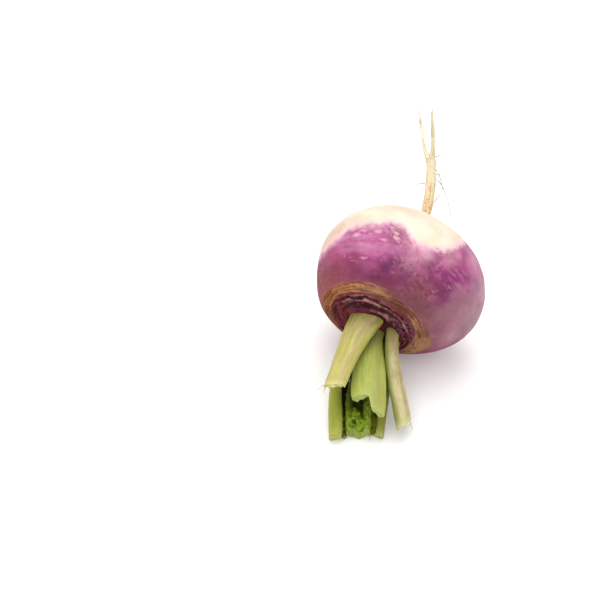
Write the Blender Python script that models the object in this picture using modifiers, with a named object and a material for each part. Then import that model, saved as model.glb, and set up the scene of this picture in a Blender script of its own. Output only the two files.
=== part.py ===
"""A purple-top turnip lying on its side, with its tap root and six cut leaf stalks.

The turnip is modelled standing in its own frame, crown up and root down, with the origin at the
middle of the widest ring. The empty named turnip_axis then lays it down: the root points along +Y,
the cut stalks along -Y, and the world origin is the middle of the small flat spot it rests on.
All lengths are in metres.
"""
import math

import bmesh
import bpy
from mathutils import Matrix, Vector

# Bulb: a squat turned shape, lower on the root side and flat at the crown.
BULB_RADIUS = 0.0374
CROWN_HEIGHT = 0.0297
CROWN_FULLNESS = 1.04
ROOT_HEIGHT = 0.0270
NECK_LENGTH = 0.0120
NECK_SPREAD = 0.0065
CROWN_LEAN = -0.0070
ROOT_LEAN = -0.0031
LOBES = ((2, 0.008, 0.7), (3, 0.006, 2.3), (5, 0.003, 4.0))
# Uneven fullness: azimuth, angle from the crown, reach around and along (degrees), share of radius.
SHOULDERS = ((205.0, 36.0, 40.0, 16.0, 0.085), (165.0, 72.0, 30.0, 20.0, -0.020))

# Crown: a shallow dish with rings of old leaf scars around the stalks.
DISH_DEPTH = 0.0016
DISH_INNER = 0.0145
DISH_OUTER = 0.0215
SCAR_RING_HEIGHT = 0.0005
SCAR_RING_PITCH = 0.0042
SCAR_RING_START = 0.0085
SCAR_RING_END = 0.0205

# Bulb mesh: rings close together near both poles, wider apart around the belly.
POLE_STEP = 0.0015
CROWN_POLE_EDGE = 0.0225
ROOT_POLE_EDGE = 0.0150
BELLY_RINGS = 18
BULB_SEGMENTS = 48

# How it lies: the crown points this far below the horizontal, and the belly's middle is here.
CROWN_DROOP = 15.0
BELLY_CENTRE = (-0.0003, -0.0037, 0.0358)

# Tap root and its fork, as points and radii from the neck to the thin tip.
TAP_ROOT = (
    ((-0.0026, 0.0000, -0.0320), 0.0028),
    ((-0.0033, 0.0000, -0.0388), 0.0022),
    ((-0.0061, -0.0011, -0.0507), 0.0022),
    ((-0.0090, -0.0021, -0.0601), 0.0024),
    ((-0.0134, -0.0048, -0.0722), 0.0020),
    ((-0.0165, -0.0075, -0.0823), 0.0011),
    ((-0.0233, -0.0137, -0.0997), 0.0009),
    ((-0.0290, -0.0200, -0.1130), 0.0006),
    ((-0.0330, -0.0270, -0.1240), 0.0003),
)
FORK_ROOT = (
    ((-0.0122, -0.0040, -0.0676), 0.0014),
    ((-0.0158, -0.0047, -0.0738), 0.0012),
    ((-0.0199, -0.0051, -0.0804), 0.0010),
    ((-0.0242, -0.0061, -0.0885), 0.0009),
    ((-0.0296, -0.0084, -0.0994), 0.0006),
    ((-0.0345, -0.0124, -0.1100), 0.0003),
)
ROOT_STEPS = 4
ROOT_BEVEL_RESOLUTION = 3

# Leaf stalks: centre line from crown to cut end, width and thickness at both ends, the depth of
# the groove on the inner side, the way the outer side faces (degrees from +X towards +Y, at both
# ends) and how far the cut slants along the stalk per metre across and per metre outwards. A torn
# end gives its extra length at shares of the width instead of a slant across.
LEAF_STALKS = {
    "leaf_stalk_upper_left": {
        "path": ((-0.0044, 0.0041, 0.0230), (-0.0056, 0.0044, 0.0340),
                 (-0.0056, 0.0043, 0.0480), (-0.0046, 0.0040, 0.0625)),
        "width": (0.0154, 0.0092),
        "thickness": (0.0082, 0.0058),
        "groove": (0.0048, 0.0028),
        "facing": (104.0, 106.0),
        "cut": (-0.12, 0.30),
        "colour": (0.62, 0.64, 0.25),
    },
    "leaf_stalk_upper_middle": {
        "path": ((-0.0023, -0.0009, 0.0230), (-0.0009, -0.0017, 0.0340),
                 (0.0040, -0.0023, 0.0470), (0.0104, -0.0024, 0.0640)),
        "width": (0.0092, 0.0146),
        "thickness": (0.0044, 0.0062),
        "groove": (0.0018, 0.0044),
        "facing": (80.0, 84.0),
        "cut": (0.55, -0.10),
        "tear": ((-0.50, -0.0040), (-0.30, -0.0038), (-0.10, -0.0044), (0.00, -0.0044), (0.04, -0.0020),
                 (0.09, 0.0016), (0.20, 0.0026), (0.33, 0.0033), (0.45, 0.0030), (0.50, 0.0024)),
        "colour": (0.52, 0.62, 0.2),
    },
    "leaf_stalk_right": {
        "path": ((0.0058, 0.0003, 0.0231), (0.0085, -0.0019, 0.0330),
                 (0.0148, -0.0070, 0.0450), (0.0240, -0.0132, 0.0600)),
        "width": (0.0074, 0.0092),
        "thickness": (0.0038, 0.0036),
        "groove": (0.0014, 0.0014),
        "facing": (28.0, 36.0),
        "cut": (-0.55, 0.20),
        "colour": (0.66, 0.65, 0.36),
    },
    "leaf_stalk_lower_left": {
        "path": ((-0.0096, -0.0080, 0.0220), (-0.0095, -0.0094, 0.0360),
                 (-0.0076, -0.0122, 0.0540), (0.0006, -0.0148, 0.0745)),
        "width": (0.0082, 0.0090),
        "thickness": (0.0056, 0.0080),
        "groove": (0.0018, 0.0026),
        "facing": (205.0, 190.0),
        "cut": (0.10, 0.15),
        "colour": (0.42, 0.47, 0.12),
    },
    "leaf_stalk_lower_middle": {
        "path": ((-0.0022, -0.0112, 0.0220), (-0.0014, -0.0118, 0.0360),
                 (0.0010, -0.0130, 0.0530), (0.0073, -0.0144, 0.0696)),
        "width": (0.0090, 0.0107),
        "thickness": (0.0068, 0.0068),
        "groove": (0.0022, 0.0028),
        "facing": (270.0, 270.0),
        "cut": (0.00, 0.30),
        "colour": (0.34, 0.52, 0.08),
    },
    "leaf_stalk_lower_right": {
        "path": ((0.0056, -0.0092, 0.0220), (0.0070, -0.0114, 0.0350),
                 (0.0100, -0.0148, 0.0510), (0.0138, -0.0176, 0.0670)),
        "width": (0.0070, 0.0088),
        "thickness": (0.0046, 0.0056),
        "groove": (0.0016, 0.0020),
        "facing": (312.0, 318.0),
        "cut": (-0.10, 0.10),
        "colour": (0.45, 0.47, 0.14),
    },
}
STALK_RINGS = 4
STALK_HALF_SEGMENTS = 10
CUT_REACH = 0.25

NEIGHBOUR_GAP = 0.00035
FLOOR_DEPTH = 0.05
FLOOR_SPAN = 0.40
SKIN_COLOUR = (0.43, 0.12, 0.33)


# Scene and materials

def clear_scene():
    for item in list(bpy.data.objects):
        bpy.data.objects.remove(item, do_unlink=True)


def new_collection(name):
    collection = bpy.data.collections.new(name)
    bpy.context.scene.collection.children.link(collection)
    return collection


def new_material(name, colour, roughness):
    material = bpy.data.materials.new(name)
    material.use_nodes = True
    shader = material.node_tree.nodes["Principled BSDF"]
    shader.inputs["Base Color"].default_value = (*colour, 1.0)
    shader.inputs["Roughness"].default_value = roughness
    shader.inputs["Metallic"].default_value = 0.0
    return material


def add_object(name, data, collection, parent=None):
    item = bpy.data.objects.new(name, data)
    collection.objects.link(item)
    item.parent = parent
    return item


def mark_as_cutter(item):
    item.hide_render = True
    item.display_type = "WIRE"


def add_boolean(item, operand, operation):
    modifier = item.modifiers.new(f"{operation.lower()}_{operand.name}", "BOOLEAN")
    modifier.operation = operation
    modifier.object = operand
    modifier.solver = "EXACT"


def shade(mesh, angle):
    mesh.shade_smooth()
    mesh.set_sharp_from_angle(angle=math.radians(angle))


# Shape rules

def smooth_step(value, low, high):
    part = min(max((value - low) / (high - low), 0.0), 1.0)
    return part * part * (3.0 - 2.0 * part)


def crown_relief(radius):
    dish = -DISH_DEPTH * (1.0 - smooth_step(radius, DISH_INNER, DISH_OUTER))
    if not SCAR_RING_START < radius < SCAR_RING_END:
        return dish
    turn = 2.0 * math.pi * (radius - SCAR_RING_START) / SCAR_RING_PITCH
    return dish + 0.5 * SCAR_RING_HEIGHT * (1.0 - math.cos(turn))


def profile_point(angle, grow):
    """Radius and height at an angle from the crown (0) to the root (pi)."""
    radius = (BULB_RADIUS + grow) * math.sin(angle)
    if angle <= 0.5 * math.pi:
        height = (CROWN_HEIGHT + grow) * math.cos(angle) ** CROWN_FULLNESS
        return radius, height + crown_relief(radius)
    height = (ROOT_HEIGHT + grow) * math.cos(angle)
    return radius, height - NECK_LENGTH * math.exp(-radius / NECK_SPREAD)


def profile_angles():
    crown_rings = round(CROWN_POLE_EDGE / POLE_STEP)
    root_rings = round(ROOT_POLE_EDGE / POLE_STEP)
    crown = [math.asin(POLE_STEP * ring / BULB_RADIUS) for ring in range(crown_rings + 1)]
    root = [math.pi - math.asin(POLE_STEP * ring / BULB_RADIUS) for ring in range(root_rings, -1, -1)]
    step = (root[0] - crown[-1]) / BELLY_RINGS
    belly = [crown[-1] + step * ring for ring in range(1, BELLY_RINGS)]
    return crown + belly + root


def swell_at(turn, angle):
    """Share of the turned radius at an azimuth and an angle from the crown."""
    swell = 1.0 + sum(depth * math.cos(order * turn + phase) for order, depth, phase in LOBES)
    for azimuth, polar, around, along, share in SHOULDERS:
        away = (math.degrees(turn) - azimuth + 180.0) % 360.0 - 180.0
        down = math.degrees(angle) - polar
        swell += share * math.exp(-(away / around) ** 2 - (down / along) ** 2)
    return swell


def grow_unevenly(mesh, grow):
    """Gives the turned shape its lobes and shoulders, and leans its two ends sideways."""
    for vertex in mesh.vertices:
        x, y, z = vertex.co
        turn = math.atan2(y, x)
        angle = math.asin(min(math.hypot(x, y) / (BULB_RADIUS + grow), 1.0))
        swell = swell_at(turn, angle if z > 0.0 else math.pi - angle)
        lean = CROWN_LEAN if z > 0.0 else ROOT_LEAN
        vertex.co.x = x * swell + lean * (z / BULB_RADIUS) ** 2
        vertex.co.y = y * swell


def smooth_path(points, steps):
    """Points of any size on a Catmull-Rom curve through the given points."""
    size = len(points[0])
    ends = [[2.0 * points[0][i] - points[1][i] for i in range(size)],
            [2.0 * points[-1][i] - points[-2][i] for i in range(size)]]
    held = [ends[0], *points, ends[1]]
    path = []
    for span in range(len(points) - 1):
        before, start, end, after = held[span:span + 4]
        for step in range(steps):
            t = step / steps
            path.append([
                0.5 * (2.0 * start[i] + (end[i] - before[i]) * t
                       + (2.0 * before[i] - 5.0 * start[i] + 4.0 * end[i] - after[i]) * t ** 2
                       + (3.0 * start[i] - before[i] - 3.0 * end[i] + after[i]) * t ** 3)
                for i in range(size)
            ])
    path.append(list(points[-1]))
    return path


# Bulb with its tap root

def turned_bulb(name, collection, parent, grow=0.0):
    """A Screw-turned bulb; grow swells it evenly to make a clearance cutter."""
    profile = bpy.data.meshes.new(name)
    points = [profile_point(angle, grow) for angle in profile_angles()]
    edges = [(index, index + 1) for index in range(len(points) - 1)]
    profile.from_pydata([(radius, 0.0, height) for radius, height in points], edges, [])
    guide = add_object(f"{name}_profile", profile, collection)
    screw = guide.modifiers.new("turn", "SCREW")
    screw.steps = BULB_SEGMENTS
    screw.render_steps = BULB_SEGMENTS
    screw.use_merge_vertices = True
    screw.merge_threshold = 0.00005
    screw.use_normal_calculate = True
    solid = mesh_from(guide, name)
    grow_unevenly(solid, grow)
    shade(solid, 50.0)
    return add_object(name, solid, collection, parent)


def mesh_from(item, name):
    """The evaluated mesh of an object that is then removed, with its seams welded."""
    bpy.context.view_layer.update()
    evaluated = item.evaluated_get(bpy.context.evaluated_depsgraph_get())
    mesh = bpy.data.meshes.new_from_object(evaluated)
    mesh.name = name
    shape = bmesh.new()
    shape.from_mesh(mesh)
    bmesh.ops.remove_doubles(shape, verts=shape.verts, dist=0.00002)
    bmesh.ops.recalc_face_normals(shape, faces=shape.faces)
    shape.to_mesh(mesh)
    shape.free()
    bpy.data.objects.remove(item, do_unlink=True)
    return mesh


def root_strand(name, points, collection, parent):
    curve = bpy.data.curves.new(name, "CURVE")
    curve.dimensions = "3D"
    curve.bevel_depth = 1.0
    curve.bevel_resolution = ROOT_BEVEL_RESOLUTION
    curve.use_fill_caps = True
    path = smooth_path([(*place, radius) for place, radius in points], ROOT_STEPS)
    spline = curve.splines.new("POLY")
    spline.points.add(len(path) - 1)
    for point, (x, y, z, radius) in zip(spline.points, path):
        point.co = (x, y, z, 1.0)
        point.radius = radius
    strand = mesh_from(add_object(f"{name}_curve", curve, collection), name)
    item = add_object(name, strand, collection, parent)
    mark_as_cutter(item)
    return item


def build_root_body(parts, cutters, axis, floor):
    body = turned_bulb("turnip_root", parts, axis)
    for name, points in (("tap_root_strand", TAP_ROOT), ("fork_root_strand", FORK_ROOT)):
        add_boolean(body, root_strand(name, points, cutters, axis), "UNION")
    add_boolean(body, floor, "DIFFERENCE")
    body.data.materials.append(new_material("turnip_skin", SKIN_COLOUR, 0.42))
    return body


# Leaf stalks

def stalk_section(width, thickness, groove):
    """Outline across a stalk: a rounded outer side and a grooved inner side."""
    outline = []
    for index in range(2 * STALK_HALF_SEGMENTS):
        turn = math.pi * index / STALK_HALF_SEGMENTS
        across = 0.5 * width * math.cos(turn)
        outwards = 0.5 * thickness * math.sin(turn)
        if outwards < 0.0:
            outwards += groove * math.exp(-abs(across / (0.27 * width)) ** 2.6)
        outline.append((across, outwards))
    return outline


def slant_at(spec, width, across, outwards):
    """How far the cut end stands out along the stalk at a place in its section."""
    cut_side, cut_out = spec["cut"]
    if "tear" not in spec:
        return cut_side * across + cut_out * outwards
    place = across / width
    for (before, low), (after, high) in zip(spec["tear"], spec["tear"][1:]):
        if place <= after:
            break
    share = min(max((place - before) / (after - before), 0.0), 1.0)
    return low + (high - low) * share + cut_out * outwards


def stalk_rings(spec):
    path = [Vector(point) for point in smooth_path(spec["path"], STALK_RINGS)]
    last = len(path) - 1
    rings = []
    for index, centre in enumerate(path):
        t = index / last
        blend = [spec[key][0] + (spec[key][1] - spec[key][0]) * smooth_step(t, 0.0, 0.9)
                 for key in ("width", "thickness", "groove", "facing")]
        width, thickness, groove, facing = blend
        along = (path[min(index + 1, last)] - path[max(index - 1, 0)]).normalized()
        outer = Vector((math.cos(math.radians(facing)), math.sin(math.radians(facing)), 0.0))
        side = outer.cross(along).normalized()
        outer = along.cross(side)
        slant = smooth_step(t, 1.0 - CUT_REACH, 1.0)
        rings.append([
            centre + side * across + outer * outwards
            + along * slant * slant_at(spec, width, across, outwards)
            for across, outwards in stalk_section(width, thickness, groove)
        ])
    return rings


def loft(name, rings):
    shape = bmesh.new()
    loops = [[shape.verts.new(point) for point in ring] for ring in rings]
    count = len(rings[0])
    for lower, upper in zip(loops, loops[1:]):
        for index in range(count):
            after = (index + 1) % count
            shape.faces.new((lower[index], lower[after], upper[after], upper[index]))
    shape.faces.new(loops[0][::-1])
    shape.faces.new(loops[-1])
    bmesh.ops.recalc_face_normals(shape, faces=shape.faces)
    mesh = bpy.data.meshes.new(name)
    shape.to_mesh(mesh)
    shape.free()
    shade(mesh, 40.0)
    return mesh


def build_stalk(name, spec, parts, axis, crown, floor):
    stalk = add_object(name, loft(name, stalk_rings(spec)), parts, axis)
    add_boolean(stalk, crown, "DIFFERENCE")
    add_boolean(stalk, floor, "DIFFERENCE")
    stalk.data.materials.append(new_material(f"{name}_green", spec["colour"], 0.5))
    return stalk


def floor_cutter(collection):
    shape = bmesh.new()
    bmesh.ops.create_cube(shape, size=1.0)
    block = Matrix.Diagonal((FLOOR_SPAN, FLOOR_SPAN, FLOOR_DEPTH, 1.0))
    bmesh.ops.transform(shape, matrix=block, verts=shape.verts)
    mesh = bpy.data.meshes.new("floor_cutter")
    shape.to_mesh(mesh)
    shape.free()
    item = add_object("floor_cutter", mesh, collection)
    item.location.z = -0.5 * FLOOR_DEPTH
    mark_as_cutter(item)
    return item


def main():
    clear_scene()
    parts = new_collection("turnip")
    cutters = new_collection("turnip_cutters")
    axis = add_object("turnip_axis", None, parts)
    axis.location = BELLY_CENTRE
    axis.rotation_euler = (math.radians(90.0 + CROWN_DROOP), 0.0, 0.0)
    floor = floor_cutter(cutters)
    crown = turned_bulb("crown_cutter", cutters, axis, grow=NEIGHBOUR_GAP)
    mark_as_cutter(crown)
    build_root_body(parts, cutters, axis, floor)
    for name, spec in LEAF_STALKS.items():
        build_stalk(name, spec, parts, axis, crown, floor)


main()
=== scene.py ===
from math import asin, cos, pi, radians, sin

import bpy
import numpy as np
from mathutils import Matrix, Vector


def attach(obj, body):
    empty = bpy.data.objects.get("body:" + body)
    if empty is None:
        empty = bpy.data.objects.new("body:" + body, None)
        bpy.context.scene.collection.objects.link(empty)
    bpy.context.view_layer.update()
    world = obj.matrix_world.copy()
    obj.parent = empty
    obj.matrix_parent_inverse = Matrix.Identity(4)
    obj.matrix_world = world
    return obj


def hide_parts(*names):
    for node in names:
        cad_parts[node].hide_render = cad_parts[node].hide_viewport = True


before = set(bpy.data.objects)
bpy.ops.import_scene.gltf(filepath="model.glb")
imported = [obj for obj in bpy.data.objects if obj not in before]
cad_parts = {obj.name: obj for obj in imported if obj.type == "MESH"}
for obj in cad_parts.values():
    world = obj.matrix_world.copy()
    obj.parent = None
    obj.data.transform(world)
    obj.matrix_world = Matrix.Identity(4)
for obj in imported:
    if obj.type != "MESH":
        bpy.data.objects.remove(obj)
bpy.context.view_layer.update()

MM = 0.001

# A purple-top turnip lying on its side. The shape rules and driving dimensions are those of the
# CAD model; this script adds the fine surface. A turnip's own frame has its crown at +Z, its root
# at -Z, and its origin in the middle of the widest ring. A length is in metres unless its comment
# says mm. An azimuth is an angle round the bulb, and a polar angle is one from its crown.
BULB_RADIUS = 0.0374
CROWN_HEIGHT = 0.0297
CROWN_FULLNESS = 1.04
ROOT_HEIGHT = 0.0270
NECK_LENGTH = 0.0120
NECK_SPREAD = 0.0065
CROWN_LEAN = -0.0070
ROOT_LEAN = -0.0031
# Waves round the bulb: their number, share of the radius and phase.
LOBES = ((2, 0.008, 0.7), (3, 0.006, 2.3), (5, 0.003, 4))
# Swellings: azimuth, polar angle, reach around and along (degrees), and share of the radius.
SHOULDERS = ((205, 36, 40, 16, 0.085), (165, 72, 30, 20, -0.020))
DISH_DEPTH = 0.0016
DISH_INNER = 0.0145
DISH_OUTER = 0.0215
CROWN_DROOP = 15
BELLY_CENTRE = (-0.0003, -0.0037, 0.0358)

# Points and radii along the tap root and its fork, in mm.
TAP_ROOT = MM * np.array((
    (-2.6, 0, -32, 2.8), (-3.3, 0, -38.8, 2.2), (-6.1, -1.1, -50.7, 2.2),
    (-9, -2.1, -60.1, 2.4), (-13.4, -4.8, -72.2, 2), (-16.5, -7.5, -82.3, 1.1),
    (-23.3, -13.7, -99.7, 0.9), (-29, -20, -113, 0.6), (-33, -27, -124, 0.3)))
FORK_ROOT = MM * np.array((
    (-12.2, -4, -67.6, 1.4), (-15.8, -4.7, -73.8, 1.2), (-19.9, -5.1, -80.4, 1),
    (-24.2, -6.1, -88.5, 0.9), (-29.6, -8.4, -99.4, 0.6), (-34.5, -12.4, -110, 0.3)))

# Each stalk repeats its CAD centre line in mm; its width, thickness, depth of groove (mm) and the
# way its outer side faces (degrees), at its start and end; and the slopes of its cut to the side
# and outwards. A tear gives the cut's place (mm) at shares of the width instead of the first slope.
# Shares of the width also place the streak and the loose fibres. The two margins and the crumple are
# strengths. The shades are those of the outer skin, base, streak, side margins, groove and cut face.
# The dark groove shades, the right stalk's dark margin and the darker bases are partly painted shade.
STALK_SHADES = ("skin", "base", "streak", "margin", "inner", "face")
LEAF_STALKS = {
    "leaf_stalk_upper_left": dict(
        path=((-4.4, 4.1, 23), (-5.6, 4.4, 34), (-5.6, 4.3, 48), (-4.6, 4, 62.5)),
        start=(15.4, 8.2, 4.8, 104), end=(9.2, 5.8, 2.8, 106), cut=(-0.12, 0.3), slot="pale_stalk",
        shades="#B2AA58 #625000 #A4906E #949A34 #3E4A08 #D2CA8A", streak_at=0.3, margins=(0.7, 0.4),
        fibres=(-0.48, -0.44, -0.38, 0.1)),
    "leaf_stalk_upper_middle": dict(
        path=((-2.3, -0.9, 23), (-0.9, -1.7, 34), (4, -2.3, 47), (10.4, -2.4, 64)),
        start=(9.2, 4.4, 1.8, 80), end=(14.6, 6.2, 4.4, 84), cut=(0.55, -0.1), slot="pale_stalk",
        tear=((-0.5, -4), (-0.3, -3.8), (-0.1, -4.4), (0, -4.4), (0.04, -2), (0.09, 1.6),
              (0.2, 2.6), (0.33, 3.3), (0.45, 3), (0.5, 2.4)),
        shades="#9CA446 #625C14 #8C8654 #8C9834 #26360A #A4B062", streak_at=0.25, margins=(0.5, 0.5)),
    "leaf_stalk_right": dict(
        path=((5.8, 0.3, 23.1), (8.5, -1.9, 33), (14.8, -7, 45), (24, -13.2, 60)),
        start=(7.4, 3.8, 1.4, 28), end=(9.2, 3.6, 1.4, 36), cut=(-0.55, 0.2), slot="pale_stalk",
        # Its dark margin shade is partly painted shade along its shaded side.
        shades="#C4BA8C #786034 #A08C6A #626A0E #4A5212 #CFCB8E", streak_at=0.15, margins=(1, 0.1),
        fibres=(-0.2, 0.3, 0.42, 0.47)),
    "leaf_stalk_lower_left": dict(
        path=((-9.6, -8, 22), (-9.5, -9.4, 36), (-7.6, -12.2, 54), (0.6, -14.8, 74.5)),
        start=(8.2, 5.6, 1.8, 205), end=(9, 8, 2.6, 190), cut=(0.1, 0.15), slot="green_stalk",
        shades="#93962E #767A1E #A09C50 #7E841E #44460A #AEB25E", streak_at=-0.2, margins=(0.6, 0.6)),
    "leaf_stalk_lower_middle": dict(
        path=((-2.2, -11.2, 22), (-1.4, -11.8, 36), (1, -13, 53), (7.3, -14.4, 69.6)),
        start=(9, 6.8, 2.2, 270), end=(10.7, 6.8, 2.8, 270), cut=(0, 0.3), slot="green_stalk", crumple=1.1,
        shades="#74821E #647216 #8A963A #84962E #7A9418 #929C48", streak_at=0, margins=(0.8, 0.8)),
    "leaf_stalk_lower_right": dict(
        path=((5.6, -9.2, 22), (7, -11.4, 35), (10, -14.8, 51), (13.8, -17.6, 67)),
        start=(7, 4.6, 1.6, 312), end=(8.8, 5.6, 2, 318), cut=(-0.1, 0.1), slot="green_stalk",
        shades="#827E30 #6C6820 #8E7E48 #7A7E28 #7A7C1C #A8A662", streak_at=0.1, margins=(0.8, 0.6),
        fibres=(0.42, 0.48)),
}


# Noise and small numeric helpers

def lattice(whole, seed):
    """A repeatable value from -1 to 1 at each point of a whole-numbered lattice."""
    mixed = whole[..., 0] * 374761393 + whole[..., 1] * 668265263 + whole[..., 2] * 1103515245
    mixed = (mixed + seed * 974711) & 0xFFFFFFFF
    mixed = ((mixed ^ (mixed >> 13)) * 1274126177) & 0xFFFFFFFF
    mixed = mixed ^ (mixed >> 16)
    return mixed / 2147483647.5 - 1


def noise(points, cell, seed):
    """Smooth value noise, from -1 to 1, with features about one cell (mm) wide."""
    scaled = np.asarray(points) / (cell * MM)
    whole = np.floor(scaled)
    part = scaled - whole
    fade = part * part * (3 - 2 * part)
    base = whole.astype(np.int64)
    total = np.zeros(scaled.shape[:-1])
    for corner in np.ndindex(2, 2, 2):
        near = np.abs(1 - np.array(corner) - fade)
        total += near[..., 0] * near[..., 1] * near[..., 2] * lattice(base + corner, seed)
    return total


def fractal(points, cell, seed, octaves=3):
    """Noise at several sizes, each half as wide and half as strong as the one before."""
    total = 0
    for octave in range(octaves):
        total = total + noise(points, cell / 2 ** octave, seed + 31 * octave) * 0.5 ** octave
    return total / (2 - 0.5 ** (octaves - 1))


def step_up(value, low, high):
    """0 below low, 1 above high, smooth between."""
    part = np.clip((value - low) / (high - low), 0, 1)
    return part * part * (3 - 2 * part)


def wrapped(angle):
    """The same angle, between -pi and pi."""
    return (angle + pi) % (2 * pi) - pi


def circle(count):
    """Angles evenly spaced round a ring."""
    return np.linspace(0, 2 * pi, count, endpoint=False)


def path_at(points, t):
    """Points on a Catmull-Rom curve through rows of numbers, t from 0 to 1."""
    held = np.vstack([2 * points[0] - points[1], points, 2 * points[-1] - points[-2]])
    spans = len(points) - 1
    place = np.clip(np.asarray(t) * spans, 0, spans - 1e-9)
    index = place.astype(int)
    u = (place - index)[:, None]
    before, start, end, after = (held[index + shift] for shift in range(4))
    return 0.5 * (2 * start + (end - before) * u
                  + (2 * before - 5 * start + 4 * end - after) * u ** 2
                  + (3 * start - before - 3 * end + after) * u ** 3)


def unit(vectors):
    return vectors / np.maximum(np.linalg.norm(vectors, axis=-1, keepdims=True), 1e-12)


# Placing things

LAY = Matrix.Translation(BELLY_CENTRE) @ Matrix.Rotation(radians(90 + CROWN_DROOP), 4, "X")


def lay_down(points):
    """From the turnip's own frame to the world, kept above the floor."""
    turned = np.asarray(points) @ np.array(LAY.to_3x3()).T + np.array(LAY.translation)
    turned[..., 2] = np.maximum(turned[..., 2], 0)
    return turned


def table_faces(table, first, last):
    """Quads between the neighbours in a table of vertex numbers, and triangles from a first vertex
    to its first row and from a last vertex to its last row."""
    corners = [table[:-1, :-1], table[:-1, 1:], table[1:, 1:], table[1:, :-1]]
    top, bottom = table[0].tolist(), table[-1].tolist()
    fans = [(first, *pair) for pair in zip(top[1:], top)]
    fans += [(last, *pair) for pair in zip(bottom, bottom[1:])]
    return np.stack(corners, -1).reshape(-1, 4).tolist() + fans


def grid_faces(rings, segments):
    """Faces between closed rings, and from a centre vertex to each end ring."""
    table = np.arange(rings * segments).reshape(rings, segments)
    return table_faces(np.hstack([table, table[:, :1]]), table.size, table.size + 1)


def with_centres(values):
    """A ring-by-segment table as one row of vertices, with the two end rings' means added."""
    flat = values.reshape(values.shape[0] * values.shape[1], -1)
    return np.vstack([flat, values[0].mean(axis=0)[None], values[-1].mean(axis=0)[None]])


def tube_part(grid, attributes):
    """Vertices, faces and attribute rows of one closed tube-like grid."""
    rows = {name: with_centres(values[..., None] if values.ndim == 2 else values)
            for name, values in attributes.items()}
    return with_centres(grid), grid_faces(*grid.shape[:2]), rows


def add_object(name, data):
    made = bpy.data.objects.new(name, data)
    bpy.context.scene.collection.objects.link(made)
    return made


def add_piece(name, parts, material, replaced=(), sharp=None):
    """One piece of the visual model from one or more closed parts."""
    vertices, faces, rows = [], [], {}
    for points, part_faces, attributes in parts:
        start = sum(len(block) for block in vertices)
        vertices.append(points)
        faces += [tuple(index + start for index in face) for face in part_faces]
        for key, values in attributes.items():
            rows.setdefault(key, []).append(values)
    mesh = bpy.data.meshes.new(name)
    mesh.from_pydata(np.vstack(vertices).tolist(), [], faces)
    for key, blocks in rows.items():
        values = np.vstack(blocks)
        kind, field = ("FLOAT_VECTOR", "vector") if values.shape[1] == 3 else ("FLOAT", "value")
        mesh.attributes.new(key, kind, "POINT").data.foreach_set(field, values.ravel())
    mesh.shade_smooth()
    if sharp:
        mesh.set_sharp_from_angle(angle=radians(sharp))
    mesh.materials.append(material)
    piece = add_object(name, mesh)
    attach(piece, "root")
    if replaced:
        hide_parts(*replaced)


# Materials

def colour(text):
    """Linear colour from a hexadecimal display colour such as #D8D27C."""
    channels = [int(text[i:i + 2], 16) / 255 for i in (1, 3, 5)]
    linear = [c / 12.92 if c <= 0.04045 else ((c + 0.055) / 1.055) ** 2.4 for c in channels]
    return (*linear, 1)


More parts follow.
